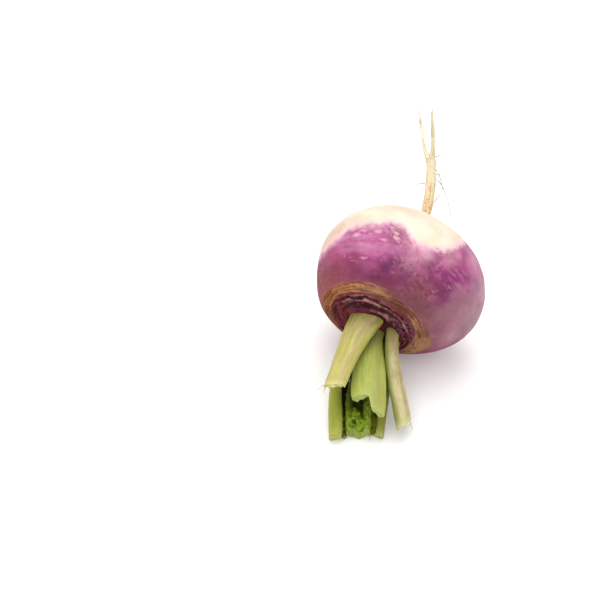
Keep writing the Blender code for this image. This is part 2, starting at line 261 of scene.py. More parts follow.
class Paint:
    """A Principled material and short calls for the nodes that feed it. A colour is a socket, the
    name of one of the material's shades, or a hexadecimal display colour."""

    def __init__(self, name, shades=None):
        self.material = bpy.data.materials.new(name)
        self.material.use_nodes = True
        self.tree = self.material.node_tree
        self.shades = shades or {}

    def feed(self, node, values):
        """Gives a node's inputs, by name or number, their sockets, colours or numbers."""
        for key, value in values.items():
            if isinstance(value, bpy.types.NodeSocket):
                self.tree.links.new(value, node.inputs[key])
            elif isinstance(value, str):
                node.inputs[key].default_value = colour(self.shades.get(value, value))
            else:
                node.inputs[key].default_value = value

    def node(self, kind, values=None, **settings):
        """A new node's outputs."""
        made = self.tree.nodes.new("ShaderNode" + kind)
        for key, value in settings.items():
            setattr(made, key, value)
        self.feed(made, values or {})
        return made.outputs

    def attribute(self, name, output="Fac"):
        return self.node("Attribute", attribute_name=name)[output]

    def noise(self, vector, scale, detail=3, roughness=0.55):
        """Noise of one scale per metre, or of one along each axis."""
        if isinstance(scale, tuple):
            vector = self.node("VectorMath", {0: vector, 1: scale}, operation="MULTIPLY")[0]
            scale = 1
        values = {"Vector": vector, "Scale": scale, "Detail": detail, "Roughness": roughness}
        return self.node("TexNoise", values)["Fac"]

    def span(self, value, low, high, start=0, end=1):
        """A smooth change from start to end as a value goes from low to high."""
        values = {0: value, 1: low, 2: high, 3: start, 4: end}
        return self.node("MapRange", values, interpolation_type="SMOOTHSTEP")["Result"]

    def maths(self, operation, first, second):
        return self.node("Math", {0: first, 1: second}, operation=operation)[0]

    def times(self, first, second):
        return self.maths("MULTIPLY", first, second)

    def mix(self, factor, first, second):
        return self.node("Mix", {0: factor, 6: first, 7: second}, data_type="RGBA")[2]

    def over(self, below, shade, weight, *ends):
        """One colour over another by a mask or socket: as it is, times one number, or as a span."""
        if isinstance(weight, str):
            weight = self.attribute(weight)
        if len(ends) == 1:
            weight = self.times(weight, ends[0])
        elif ends:
            weight = self.span(weight, *ends)
        return self.mix(weight, below, shade)

    def patched(self, below, breakup, **least):
        """The shades of the named masks, one after another, each where its mask is and thinned by
        a noise to a least share."""
        for name, share in least.items():
            weight = self.times(self.attribute(name), self.span(breakup, 0, 1, share, 1))
            below = self.mix(weight, below, name)
        return below

    def ring(self, name, low, high):
        """1 where a mask is midway between two values, and 0 at them and outside them."""
        value = self.attribute(name)
        middle = 0.5 * (low + high)
        return self.times(self.span(value, low, middle), self.span(value, middle, high, 1, 0))

    def gloss(self, level):
        """A specular level that fades towards grazing angles, as on a waxy skin."""
        facing = self.node("LayerWeight")["Facing"]
        return self.times(level, self.span(facing, 0.35, 0.85, 1, 0.1))

    def bump(self, height, distance, normal=None):
        values = {"Distance": distance, "Height": height}
        if normal:
            values["Normal"] = normal
        return self.node("Bump", values)["Normal"]

    def finish(self, base, roughness, normal, subsurface, reach, specular):
        """The material, with its shader's main sockets fed."""
        values = {"Base Color": base, "Roughness": roughness, "Normal": normal,
                  "Subsurface Weight": subsurface, "Subsurface Radius": (1, 0.5, 0.35),
                  "Subsurface Scale": reach, "Specular IOR Level": specular}
        self.feed(self.tree.nodes["Principled BSDF"], values)
        return self.material


# The bulb's skin

CROWN_EDGE = 0.0225
ROOT_EDGE = 0.013
SKIN_CENTRE = 0.0002
CROWN_RINGS = 92
BELLY_RINGS = 104
ROOT_RINGS = 34
SKIN_SEGMENTS = 400
LUMP_HEIGHT = 0.00035
# Noise that follows the skin is wound up tightly, by these shares of its real way round.
BELT_SQUEEZE = 0.22
HOOP_SQUEEZE = 0.07

# Radii over which the crown's maroon ends and its cork starts and ends.
MAROON_END = (19.2 * MM, 19.9 * MM)
CORK_START = (19 * MM, 19.8 * MM)
CORK_END = (22.2 * MM, 25 * MM)
CORK_PITCH = 0.00125
# How far the cork's start and end are moved in: azimuth (degrees), reach (radians) and mm.
CORK_START_SHIFTS = ((195, 0.7, 1.4), (-25, 0.4, 2))
CORK_END_SHIFTS = ((-22, 0.5, -1.8), (48, 0.5, 0.7))

# Crescent scars of shed leaves: azimuth (degrees), radius, half reach (degrees), change of radius
# at the ends, lip height, lip width, and how pale the lip's crest is. Lengths are in mm.
SCARS = (
    (105, 18.9, 64, -0.3, 0.4, 0.7, 0.5), (98, 16.2, 50, 0, 1, 1.35, 1.05),
    (110, 18, 13, 0.4, 0.8, 0.8, 1.2), (60, 12.4, 30, -1.2, 0.9, 1.3, 0.9),
    (66, 18.3, 26, 0.3, 0.5, 0.75, 0.5), (112, 13.2, 26, 0.4, 0.45, 0.8, 0.25),
    (164, 15.2, 34, 0.9, 0.7, 1.25, 0.3), (168, 18.3, 34, 0.2, 0.6, 0.95, 0.4),
    (176, 12.2, 30, 0.8, 0.6, 1, 0.25), (30, 18.6, 34, -0.4, 0.75, 0.7, 0.5),
    (24, 16.2, 32, 0.5, 0.85, 0.85, 0.7), (10, 13.9, 34, 0.4, 0.7, 0.8, 0.5),
    (-120, 18.8, 60, -0.4, 0.7, 0.7, 0.5), (-60, 18.4, 58, -0.5, 0.8, 0.7, 0.6),
    (-92, 16.2, 52, 0.5, 0.8, 0.8, 0.6), (-35, 16, 40, 0.4, 0.7, 0.7, 0.5),
    (-140, 15, 40, 0.5, 0.7, 0.9, 0.4), (-70, 13.6, 44, 0.5, 0.6, 0.8, 0.4),
    (148, 16.8, 42, 0.4, 0.5, 0.7, 0.35), (142, 19, 46, 0.2, 0.45, 0.5, 0.3),
    (190, 16.6, 30, 0.3, 0.5, 0.8, 0.3), (84, 13.8, 24, -0.3, 0.7, 0.95, 0.8),
    (150, 14.2, 26, 0.3, 0.4, 0.7, 0.25),
)

# Where purple gives way to cream: azimuth, polar angle and half width, in degrees.
PURPLE_EDGE = (
    (-170, 80, 12), (-130, 74, 12), (-95, 74, 12), (-60, 80, 12), (-30, 108, 14), (8, 124, 16),
    (27, 128, 15), (37, 126, 13), (42, 116, 13), (49, 100, 13), (56, 87, 9), (65, 81, 8), (73, 81, 9),
    (81, 88, 9), (87, 94, 9), (93, 95, 9), (102, 88, 9), (117, 87, 9), (124, 83, 11), (132, 76, 13),
    (146, 75, 13), (156, 75, 13), (172, 76, 13),
)

# Masks of soft spots: azimuth, polar angle, reach around and along (degrees), and strength.
PATCHES = dict(
    ember=((122, 46, 36, 12, 1), (88, 47, 26, 10, 0.8), (160, 46, 20, 9, 0.6), (-60, 44, 60, 8, 0.7),
           (-140, 44, 30, 8, 0.8)),
    rose=((136, 60, 24, 12, 0.9), (44, 92, 8, 14, 0.4), (-60, 64, 20, 14, 0.8),
          (-110, 64, 20, 12, 0.8)),
    flush=((109, 78, 17, 12, 1), (88, 77, 9, 8, 0.7), (120, 68, 10, 8, 0.6), (102, 64, 10, 6, 0.5)),
    vivid=((39, 76, 8, 15, 1), (37, 61, 7, 7, 1), (42, 94, 6, 14, 0.8), (104, 73, 8, 3, 0.5),
           (82, 57, 9, 8, 0.7), (72, 50, 7, 5, 0.5), (118, 66, 7, 6, 0.3), (118, 78, 5, 5, 0.3),
           (-44, 66, 12, 12, 0.7)),
    deep=((81, 53, 9, 10, 0.8), (91, 46, 8, 5, 0.9), (80, 60, 6, 4, 0.9), (68, 56, 8, 8, 0.6),
          (37, 64, 7, 8, 0.8), (84, 60, 7, 6, 0.5), (104, 48, 14, 5, 0.4), (-100, 56, 14, 8, 0.8),
          (-150, 62, 12, 8, 0.7)),
    # The brown spot at azimuth 89, round the tan scars, is partly painted shade.
    brown=((50, 46, 20, 10, 1), (53, 54, 15, 10, 1), (89, 82, 7, 9, 0.5), (26, 42, 20, 7, 0.8),
           (64, 42, 16, 6, 0.8), (60, 70, 9, 7, 0.4), (-60, 44, 30, 7, 0.7), (-130, 44, 22, 8, 0.8)),
    dusk=((78, 40, 34, 6, 1), (38, 40, 18, 6, 0.7), (120, 40, 20, 5, 0.5), (-60, 40, 24, 6, 0.7),
          (-120, 40, 40, 6, 0.8)),
    grey=((16, 54, 18, 16, 1), (-8, 56, 24, 14, 0.9), (20, 68, 12, 10, 0.9), (30, 66, 8, 10, 0.6),
          (4, 68, 16, 10, 1)),
    ash=((-14, 56, 14, 9, 0.7), (-16, 82, 24, 16, 1), (4, 94, 18, 16, 1), (16, 86, 10, 12, 0.6),
         (14, 108, 14, 14, 0.6), (-75, 70, 20, 10, 0.6)),
    red=((150, 44, 20, 7, 0.9), (168, 52, 14, 14, 1), (-14, 52, 12, 6, 0.6), (178, 40, 16, 7, 0.9),
         (-140, 50, 20, 9, 0.8)),
    speck=((55, 52, 22, 14, 1), (75, 56, 14, 14, 0.9), (50, 66, 12, 12, 0.8), (-60, 50, 30, 12, 0.8),
           (170, 56, 14, 14, 0.6), (-130, 52, 24, 12, 0.8)),
    orange=((150, 36, 45, 14, 1), (-150, 36, 30, 14, 0.7), (-12, 38, 26, 14, 0.7)),
    peach=((146, 86, 20, 18, 1), (164, 76, 14, 16, 1), (128, 92, 14, 10, 0.6), (88, 116, 24, 10, 0.5),
           (50, 114, 8, 12, 0.3)),
    crimson=((148, 51, 18, 10, 0.9), (164, 54, 14, 16, 1), (132, 50, 10, 7, 0.7)),
    sand=((-22, 40, 36, 12, 1), (8, 38, 12, 6, 0.9), (85, 34, 14, 4, 0.8)),
    umber=((54, 36, 13, 6, 1), (8, 39, 16, 6, 0.7)),
    scarlet=((160, 26, 34, 10, 1), (120, 30, 30, 3, 0.8), (-120, 26, 40, 10, 0.5)),
    # painted_crown_shade is painted shade: the crown's middle darkened where the stalks shade it.
    painted_crown_shade=((40, 15, 50, 8, 1), (-60, 14, 60, 8, 0.8), (150, 10, 60, 8, 0.7)),
    violet=((112, 20, 26, 6, 1), (18, 28, 20, 9, 0.8), (60, 24, 20, 5, 0.5), (-60, 22, 40, 6, 0.6)),
    # blush: pale pink spots, partly the skin's own blush, partly painted highlight.
    blush=((106, 67, 9, 4, 0.6), (66, 75, 8, 6, 0.9), (76, 77, 6, 5, 0.9), (71, 65, 7, 8, 0.7),
           (50, 86, 6, 8, 0.7), (92, 90, 8, 5, 0.6), (110, 86, 12, 5, 0.7), (128, 78, 10, 5, 0.5),
           (32, 106, 10, 12, 0.6), (50, 96, 6, 12, 0.6), (-12, 53, 12, 6, 0.4), (10, 96, 10, 24, 0.6),
           (-80, 78, 20, 8, 0.6)),
)
# Raised pale blisters and tan scars, with the same five numbers.
BLISTERS = (
    (115, 76.5, 4, 2.2, 1), (111, 80, 4.2, 1.5, 0.9), (104.5, 77.5, 3, 1.3, 0.7),
    (99.5, 80.5, 3.8, 2.4, 0.9), (94, 74.5, 4.2, 1.6, 0.8), (104, 58, 4.2, 1.6, 0.8),
    (96, 89.5, 3.6, 1.4, 0.9), (92.5, 87, 2.4, 1.5, 0.9), (82.5, 73.5, 3.6, 1.7, 0.6),
    (78, 74.5, 4, 1.6, 0.5), (121, 72, 1.8, 1.2, 0.7), (108, 84, 3, 1, 0.5),
    (87, 65, 3.2, 0.8, 0.5), (31, 76, 2, 1.2, 0.5), (-30, 74, 3.4, 1, 0.8),
    (-88, 66, 3, 0.9, 0.8), (-140, 80, 2.6, 1.1, 0.8),
)
TAN_SCARS = ((87.5, 78.5, 4.2, 1.9, 1), (88, 83, 2.6, 2, 1), (84.5, 76, 2, 1.6, 0.8),
             (91.5, 85, 2, 1.3, 0.7), (-70, 84, 2.4, 1.6, 0.8), (-120, 70, 2.4, 1.3, 0.8))
# Light scratches, each from one azimuth and polar angle to another, in degrees.
SCRATCHES = (
    (41, 71, 22, 75), (38, 71.5, 29, 77), (44, 72, 31, 73.5), (48, 76, 36, 77), (45, 80, 33, 80),
    (43, 66, 35, 67.5), (40, 84, 30, 85), (99, 64.5, 91, 64), (99, 67, 92, 66), (99, 69.5, 91, 68),
    (98, 62, 92, 62), (124, 70, 112, 69), (118, 63, 106, 64), (-52, 62, -38, 70),
    (-110, 78, -98, 84), (14, 92, -6, 84), (8, 98, -12, 88),
)


def soft_spot(turn, angle, azimuth, polar, around, along):
    """1 at a place on the bulb, fading over its reach around and along, in degrees."""
    across = np.degrees(wrapped(turn - radians(azimuth))) / around
    down = (np.degrees(angle) - polar) / along
    return np.exp(-(across ** 2 + down ** 2))


def soft_spots(turn, angle, spots):
    """A mask of soft spots, each with its strength."""
    mask = np.zeros_like(turn)
    for *place, strength in spots:
        mask = np.maximum(mask, strength * soft_spot(turn, angle, *place))
    return mask


def wound(turn, reach, third):
    """Places for a noise that closes on itself round the bulb."""
    return np.stack([reach * np.cos(turn), reach * np.sin(turn), third], -1)


def bulb_profile(angle):
    """Radius and height at an angle from the crown (0) to the root (pi)."""
    radius = BULB_RADIUS * np.sin(angle)
    dish = DISH_DEPTH * (1 - step_up(radius, DISH_INNER, DISH_OUTER))
    crown = CROWN_HEIGHT * np.abs(np.cos(angle)) ** CROWN_FULLNESS - dish
    root = -ROOT_HEIGHT * np.abs(np.cos(angle)) - NECK_LENGTH * np.exp(-radius / NECK_SPREAD)
    return radius, np.where(angle <= 0.5 * pi, crown, root)


def bulb_surface(angle, turn):
    """Points of the smooth bulb in the turnip's own frame."""
    radius, height = bulb_profile(angle)
    swell = 1 + sum(depth * np.cos(order * turn + phase) for order, depth, phase in LOBES)
    for *place, share in SHOULDERS:
        swell = swell + share * soft_spot(turn, angle, *place)
    lean = np.where(height > 0, CROWN_LEAN, ROOT_LEAN) * (height / BULB_RADIUS) ** 2
    return np.stack([radius * np.cos(turn) * swell + lean, radius * np.sin(turn) * swell, height], -1)


def skin_angles():
    """Angles of the skin's rings from crown to root, close together where there is detail."""
    crown = np.arcsin(np.linspace(SKIN_CENTRE, CROWN_EDGE, CROWN_RINGS) / BULB_RADIUS)
    root = pi - np.arcsin(np.linspace(ROOT_EDGE, SKIN_CENTRE, ROOT_RINGS) / BULB_RADIUS)
    belly = np.linspace(crown[-1], root[0], BELLY_RINGS + 2)[1:-1]
    return np.concatenate([crown, belly, root])


def surface_normals(grid):
    """Outward normals of a grid whose second axis closes on itself."""
    down = np.gradient(grid, axis=0)
    around = 0.5 * (np.roll(grid, -1, axis=1) - np.roll(grid, 1, axis=1))
    return unit(np.cross(down, around))


def scratches(turn, angle):
    """Thin lines on the bulb between two places, as a mask from 0 to 1."""
    mask = np.zeros_like(turn)
    for azimuth, polar, end_azimuth, end_polar in SCRATCHES:
        x = np.degrees(wrapped(turn - radians(azimuth)))
        y = np.degrees(angle) - polar
        run, rise = end_azimuth - azimuth, end_polar - polar
        along = np.clip((x * run + y * rise) / (run ** 2 + rise ** 2), 0, 1)
        away = np.hypot(x - along * run, y - along * rise)
        mask = np.maximum(mask, np.exp(-(away / 0.7) ** 2) * np.sin(pi * along) ** 0.5)
    return mask


def crown_scars(radius, turn, own):
    """Height, crest weight and groove depth of the crescent scars around the crown."""
    wobble = 0.95 * MM * fractal(own, 5.5, 11, 4) + 0.12 * MM * fractal(own, 1, 13)
    torn = fractal(own, 2.4, 17, 4)
    height, crest, groove = (np.zeros_like(radius) for _ in range(3))
    for azimuth, middle, reach, change, lip_height, width, paleness in SCARS:
        away = wrapped(turn - radians(azimuth)) / radians(reach)
        line = (middle + change * away ** 2) * MM + wobble
        fade = np.clip(1 - away ** 2, 0, 1) ** 0.5
        across = (radius - line) / (width * MM)
        lip = np.exp(-np.abs(across) ** 2.5) * fade
        height += lip_height * MM * lip * np.clip(0.9 + 0.7 * torn, 0.3, 1.4)
        crest = np.maximum(crest, paleness * lip * np.clip(0.9 + 0.6 * torn, 0.3, 1.2))
        depth = (0.6 + 0.4 * paleness) * np.clip(1 - 0.9 * torn, 0.2, 1)
        groove = np.maximum(groove, depth * np.exp(-(across + 1.9) ** 2) * fade * (1 - lip))
    return height - 0.5 * MM * groove, crest, groove


def shifted(radius, turn, shifts):
    """Radii moved by a length (mm) around each azimuth (degrees), over a reach (radians)."""
    for azimuth, reach, shift in shifts:
        radius = radius + shift * MM * np.exp(-(wrapped(turn - radians(azimuth)) / reach) ** 2)
    return radius


def crown_masks(radius, turn, own, belt, crown_side):
    """The crown's maroon middle, its ring of cork and the lines in the cork."""
    drift = radius + 0.8 * MM * fractal(own, 8, 3) + 0.25 * MM * fractal(own, 1.5, 5)
    inner = shifted(drift, turn, CORK_START_SHIFTS)
    scar = np.where(crown_side, 1 - step_up(inner, *MAROON_END), 0)
    outer = shifted(drift + 1.5 * MM * fractal(belt, 1.6, 9), turn, CORK_END_SHIFTS)
    cork = np.where(crown_side, step_up(inner, *CORK_START) * (1 - step_up(outer, *CORK_END)), 0)
    waver = 0.9 * MM * fractal(own, 5.5, 21, 4)
    hoop = wound(turn, HOOP_SQUEEZE * BULB_RADIUS, radius + waver)
    lines = 0.4 * np.sin(2 * pi * (radius + waver) / CORK_PITCH) + 1.5 * fractal(hoop, 0.85, 23)
    return scar, cork, lines


def purple_end(angle, turn, own):
    """0 where the skin is purple and 1 where it is cream, with a ragged edge."""
    azimuths, polars, widths = zip(*PURPLE_EDGE)
    edge = np.interp(np.degrees(turn), azimuths, polars, period=360)
    soft = np.interp(np.degrees(turn), azimuths, widths, period=360)
    ragged = 2.5 * fractal(own, 8, 41) + 1.2 * fractal(own, 1.8, 43)
    return step_up(np.degrees(angle) + ragged, edge - soft, edge + soft)


def strayed(angle, own, *strays):
    """Angles moved by noises, each with its reach (degrees), cell (mm) and seed."""
    for reach, cell, seed in strays:
        angle = angle + np.radians(reach) * fractal(own, cell, seed)
    return angle


def skin_table():
    """The displaced skin in the turnip's own frame, and the masks that colour it."""
    turn = np.linspace(-pi, pi, SKIN_SEGMENTS, endpoint=False)[None, :]
    angle, turn = np.broadcast_arrays(skin_angles()[:, None], turn)
    own = bulb_surface(angle, turn)
    radius = bulb_profile(angle)[0]
    arc = angle * 0.9 * BULB_RADIUS
    belt = wound(turn, BELT_SQUEEZE * BULB_RADIUS, arc)
    crown_side = angle < 0.5 * pi
    scar, cork, lines = crown_masks(radius, turn, own, belt, crown_side)
    scar_height, crest, groove = crown_scars(radius, turn, own)
    pale = purple_end(angle, turn, own)
    pit = 0.5 * noise(own, 0.9, 29) + 0.5 * noise(own, 0.5, 37)
    near_turn = strayed(turn, own, (2.2, 1.7, 55))
    near_angle = strayed(angle, own, (1.2, 1.7, 57))
    blister = soft_spots(near_turn, near_angle, BLISTERS)
    tan = soft_spots(near_turn + np.radians(2) * pit, near_angle + np.radians(1.2) * pit, TAN_SCARS)
    scratch = scratches(turn, angle) * step_up(fractal(own, 2, 53), -0.5, 0.2)
    dash = step_up(fractal(belt, 0.62, 49, 2), 0.34, 0.62) * step_up(angle, 0.75, 1) * (1 - pale)
    neck = np.where(crown_side, 0, 1 - step_up(radius, 2 * MM, 9 * MM))

    lift = LUMP_HEIGHT * (fractal(own, 15, 1) + 0.35 * noise(own, 5, 2))
    lift = lift * step_up(radius, 3 * MM, 12 * MM)
    lift = lift + scar_height * scar
    lift = lift + 0.11 * MM * cork * lines + 0.03 * MM * pit * (scar + 0.4)
    lift = lift + 0.03 * MM * dash + 0.22 * MM * blister + 0.25 * MM * tan - 0.06 * MM * scratch
    wave = np.sin(2 * pi * (arc + 0.4 * MM * fractal(own, 3, 59)) / (1.7 * MM))
    lift = lift + neck * 0.08 * MM * wave

    masks = dict(own=own, belt=belt, scar=scar, cork=cork, crest=crest, groove=groove, lines=lines,
                 pale=pale, dash=dash, blister=blister, tan=tan, scratch=scratch, neck=neck)
    far_turn = strayed(turn, own, (7, 9, 45), (2.5, 2.2, 46))
    far_angle = strayed(angle, own, (5, 9, 47), (2, 2.2, 48))
    for name, spots in PATCHES.items():
        masks[name] = soft_spots(far_turn, far_angle, spots)
    masks["dash"] = dash * (1 - 0.8 * np.maximum(masks["ash"], masks["grey"]))
    return own + surface_normals(own) * lift[..., None], masks


SKIN_COLOURS = dict(
    light="#AC5688", dark="#762658", rose="#A23C6C", deep="#560A3C", brown="#6A3A32", flush="#B8628E",
    # shine is the colour of a painted sheen.
    shine="#D092BA", vivid="#862468", ember="#7A2C42", ash="#A08288", grey="#845A60", red="#86322C",
    # blush is partly painted highlight.
    crimson="#641A22", blush="#C08C9C", speck="#6A2240", stroke="#540A40", dash="#B27C94",
    dusk="#663838", cream="#D6D0BE", warm="#D2C6AC", pink="#DEB4BA", peach="#CAA692",
    # rim, round the blisters and tan scars, is partly painted shade.
    blister="#CE96B0", tan="#C49A9C", rim="#4E1A38", neck="#C8AE84", cork_dark="#52301F",
    cork_light="#A87A52", cork="#6E4638", orange="#92562A", sand="#9C765C", umber="#52281E",
    # painted_crown_shade is the painted shade of the crown's middle.
    maroon="#702A2E", scarlet="#78241E", damson="#4C1A22", violet="#4A1C42", painted_crown_shade="#34101A",
    crest="#80504E", fray="#B48A84", groove="#34121A",
)


class SkinPaint(Paint):
    """The bulb's material: four kinds of skin that share a few noises."""

    def __init__(self):
        super().__init__("turnip_skin", SKIN_COLOURS)
        self.own = self.attribute("own", "Vector")
        self.belt = self.attribute("belt", "Vector")
        self.cloud = self.span(self.noise(self.own, 110, 5), 0.36, 0.64)
        self.mottle = self.span(self.noise(self.own, 420, 5, 0.65), 0.36, 0.64)
        self.streak = self.span(self.noise(self.belt, 420, 4, 0.6), 0.38, 0.66)

    def flecked(self, below, shade, flecks, name, *ends):
        """A shade where small flecks are, stronger as a mask spans its ends."""
        return self.mix(self.times(flecks, self.span(self.attribute(name), *ends)), below, shade)

    def purple(self):
        skin = self.mix(self.cloud, "dark", "light")
        skin = self.patched(skin, self.mottle, grey=0.85, brown=0.8, dusk=0.7)
        skin = self.patched(skin, self.streak, ash=0.8)
        skin = self.patched(skin, self.mottle, ember=0.7)
        skin = self.patched(skin, self.cloud, rose=0.7)
        skin = self.patched(skin, self.streak, flush=0.6)
        # Painted sheen: lighter pink streaks over the flush.
        shine = self.span(self.noise(self.belt, 230, 4, 0.6), 0.46, 0.64, 0, 0.55)
        skin = self.mix(self.times(shine, self.attribute("flush")), skin, "shine")
        skin = self.patched(skin, self.streak, vivid=0.55)
        skin = self.patched(skin, self.cloud, crimson=0.75, red=0.75)
        # Pale pink spots, partly painted highlight.
        skin = self.patched(skin, self.streak, blush=0.7)
        skin = self.patched(skin, self.mottle, deep=0.7)
        strokes = self.span(self.noise(self.belt, (700, 700, 260), 4, 0.6), 0.48, 0.62)
        skin = self.flecked(skin, "stroke", strokes, "deep", 0.15, 0.8, 0, 0.55)
        specks = self.span(self.noise(self.own, 560, 3), 0.5, 0.62)
        skin = self.flecked(skin, "speck", specks, "speck", 0.1, 0.7, 0.1, 0.75)
        return self.over(skin, "dash", "dash", 0.42)

    def cream(self):
        skin = self.over(self.mix(self.cloud, "cream", "warm"), "pink", self.streak, 0.15)
        return self.patched(skin, self.cloud, peach=0.75)

    def marked(self, skin):
        """Blisters and tan scars with their dark rims, partly painted shade, scratches, and the tan of the
        neck.
        """
        for name, rim_end, rim_share, *ends in (("blister", 0.45, 0.22, 0.35, 0.85, 0, 0.8),
                                                ("tan", 0.5, 0.4, 0.4, 0.9, 0, 0.85)):
            skin = self.over(skin, "rim", self.ring(name, 0.06, rim_end), rim_share)
            skin = self.over(skin, name, name, *ends)
        skin = self.over(skin, "dash", "scratch", 0.5)
        return self.over(skin, "neck", "neck", 0.55)

    def corky(self):
        line = self.maths("ADD", self.attribute("lines"), self.span(self.mottle, 0, 1, -0.25, 0.25))
        skin = self.over("cork", "orange", "orange", 0.75)
        skin = self.patched(skin, self.mottle, sand=0.7, umber=0.8)
        pale = self.over("cork_light", "cork", "umber")
        skin = self.over(skin, pale, line, 0, 0.9, 0, 0.9)
        return self.over(skin, "cork_dark", line, -0.1, -0.9, 0, 0.9)

    def crown(self):
        skin = self.over("maroon", "scarlet", "scarlet")
        blotch = self.span(self.noise(self.own, 240, 4, 0.6), 0.4, 0.62)
        skin = self.over(skin, "damson", blotch, 0.55)
        skin = self.over(skin, "violet", "violet", 0.85)
        skin = self.over(skin, "crest", self.mottle, 0.25)
        # Painted shade over the crown's middle, where the stalks shade it.
        skin = self.over(skin, "painted_crown_shade", "painted_crown_shade", 0.85)
        skin = self.over(skin, self.mix(self.mottle, "crest", "fray"), "crest", 0.25, 0.95)
        return self.over(skin, "groove", "groove", 0.15, 0.75)

    def skin(self):
        purple, cream = self.purple(), self.cream()
        edge = self.maths("ADD", self.attribute("pale"), self.span(self.mottle, 0, 1, -0.08, 0.08))
        skin = self.over(purple, "pink", edge, 0.05, 0.65)
        skin = self.marked(self.over(skin, cream, edge, 0.4, 1))
        skin = self.over(skin, self.corky(), "cork")
        return self.over(skin, self.crown(), "scar")


def skin_material():
    paint = SkinPaint()
    skin = paint.skin()
    rough = paint.span(paint.mottle, 0, 1, 0.36, 0.48)
    for name, share in (("cork", 0.25), ("scar", 0.2)):
        rough = paint.maths("ADD", rough, paint.times(paint.attribute(name), share))
    normal = paint.bump(paint.noise(paint.own, 1500, 4), 0.0001)
    normal = paint.bump(paint.noise(paint.belt, 900, 3), 0.00008, normal)
    dull = paint.maths("MAXIMUM", paint.attribute("scar"), paint.attribute("cork"))
    gloss = paint.gloss(paint.span(dull, 0, 1, 0.3, 0.06))
    return paint.finish(skin, rough, normal, 0.05, 0.002, gloss)


def build_skin():
    shown, masks = skin_table()
    part = tube_part(lay_down(shown), masks)
    add_piece("turnip_skin", [part], skin_material(), ["turnip_root"])


# Dry scales of the crown

SCALE_ROWS = 7
SCALE_COLUMNS = 9
CLUSTER_SCALES = 44
RIM_SCALES = 40


def crown_point(radius, turn):
    """A point on the crown and its outward normal, from a radius and an azimuth."""
    angle = np.array([[asin(r / BULB_RADIUS) for r in (radius, radius + 0.2 * MM)]]).T
    spin = turn + np.array([[0, 0.01]])
    grid = bulb_surface(*np.broadcast_arrays(angle, spin))
    normal = np.cross(grid[1, 0] - grid[0, 0], grid[0, 1] - grid[0, 0])
    return grid[0, 0], normal / np.linalg.norm(normal)


def scale_grid(radius, turn, width, height, lean, twist, draws):
    """A small curled flap of dry leaf base as a closed grid, and how near each row is to its tip."""
    place, normal = crown_point(radius, turn)
    radial = np.array([cos(turn), sin(turn), 0])
    across = np.cross(normal, radial)
    across = across * cos(twist) + radial * sin(twist)
    upward = unit(normal * cos(lean) + np.cross(across, normal) * -sin(lean))
    front = np.cross(across, upward)
    rows = np.linspace(0, 1, SCALE_ROWS)[:, None]
    turns = circle(2 * SCALE_COLUMNS)[None, :]
    torn = 1 + 0.35 * draws.uniform(-1, 1, turns.shape) * rows ** 2
    half = 0.5 * width * (1 - 0.45 * rows ** 2) * (1 + 0.12 * draws.uniform(-1, 1, rows.shape))
    sideways = half * np.cos(turns)
    curl = 0.35 * width * (np.cos(turns) ** 2 - 0.5) * rows + 0.5 * height * rows ** 2
    depth = (0.16 - 0.1 * rows) * MM * np.sin(turns) - curl * draws.uniform(0.3, 1)
    rise = height * rows * torn - 0.5 * MM
    grid = place + across * sideways[..., None] + upward * rise[..., None] + front * depth[..., None]
    return grid, np.broadcast_to(rows, rise.shape)


def scale_material():
    paint = Paint("dry_scale")
    own = paint.attribute("own", "Vector")
    tip = paint.attribute("tip")
    mottle = paint.span(paint.noise(own, 900, 4), 0.36, 0.64)
    base = paint.mix(mottle, "#3A1220", "#6C3838")
    edge = paint.mix(mottle, "#8E6676", "#7A4C56")
    pale = paint.times(paint.span(tip, 0.35, 1), paint.attribute("paleness"))
    shade = paint.mix(pale, base, edge)
    normal = paint.bump(paint.noise(own, 1800, 3), 0.0001)
    return paint.finish(shade, paint.span(mottle, 0, 1, 0.55, 0.75), normal, 0.05, 0.001, 0.2)


def build_scales():
    """A cluster of scales at the right of the crown, then some along the scars' lips."""
    draws = np.random.default_rng(12)
    parts = []
    for index in range(CLUSTER_SCALES + RIM_SCALES):
        if index < CLUSTER_SCALES:
            radius = draws.uniform(12.6, 19.2) * MM
            turn = radians(draws.normal(20, 15))
            width, height = draws.uniform(1.6, 3.6) * MM, draws.uniform(0.8, 1.7) * MM
            pale = draws.uniform(0.1, 0.8)
        else:
            azimuth, middle, reach, change, _, _, paleness = SCARS[index % len(SCARS)]
            away = draws.uniform(-0.85, 0.85)
            radius = (middle + change * away ** 2 + 0.3) * MM
            turn = radians(azimuth + away * reach)
            width, height = draws.uniform(1.2, 3) * MM, draws.uniform(0.4, 0.8) * MM
            pale = 0.7 * paleness
        lean = radians(draws.uniform(20, 65))
        twist = radians(draws.normal(0, 22))
        grid, tip = scale_grid(radius, turn, width, height, lean, twist, draws)
        masks = {"own": grid, "tip": tip, "paleness": np.full(tip.shape, pale)}
        parts.append(tube_part(lay_down(grid), masks))
    add_piece("crown_scales", parts, scale_material())


# Tap root and rootlets

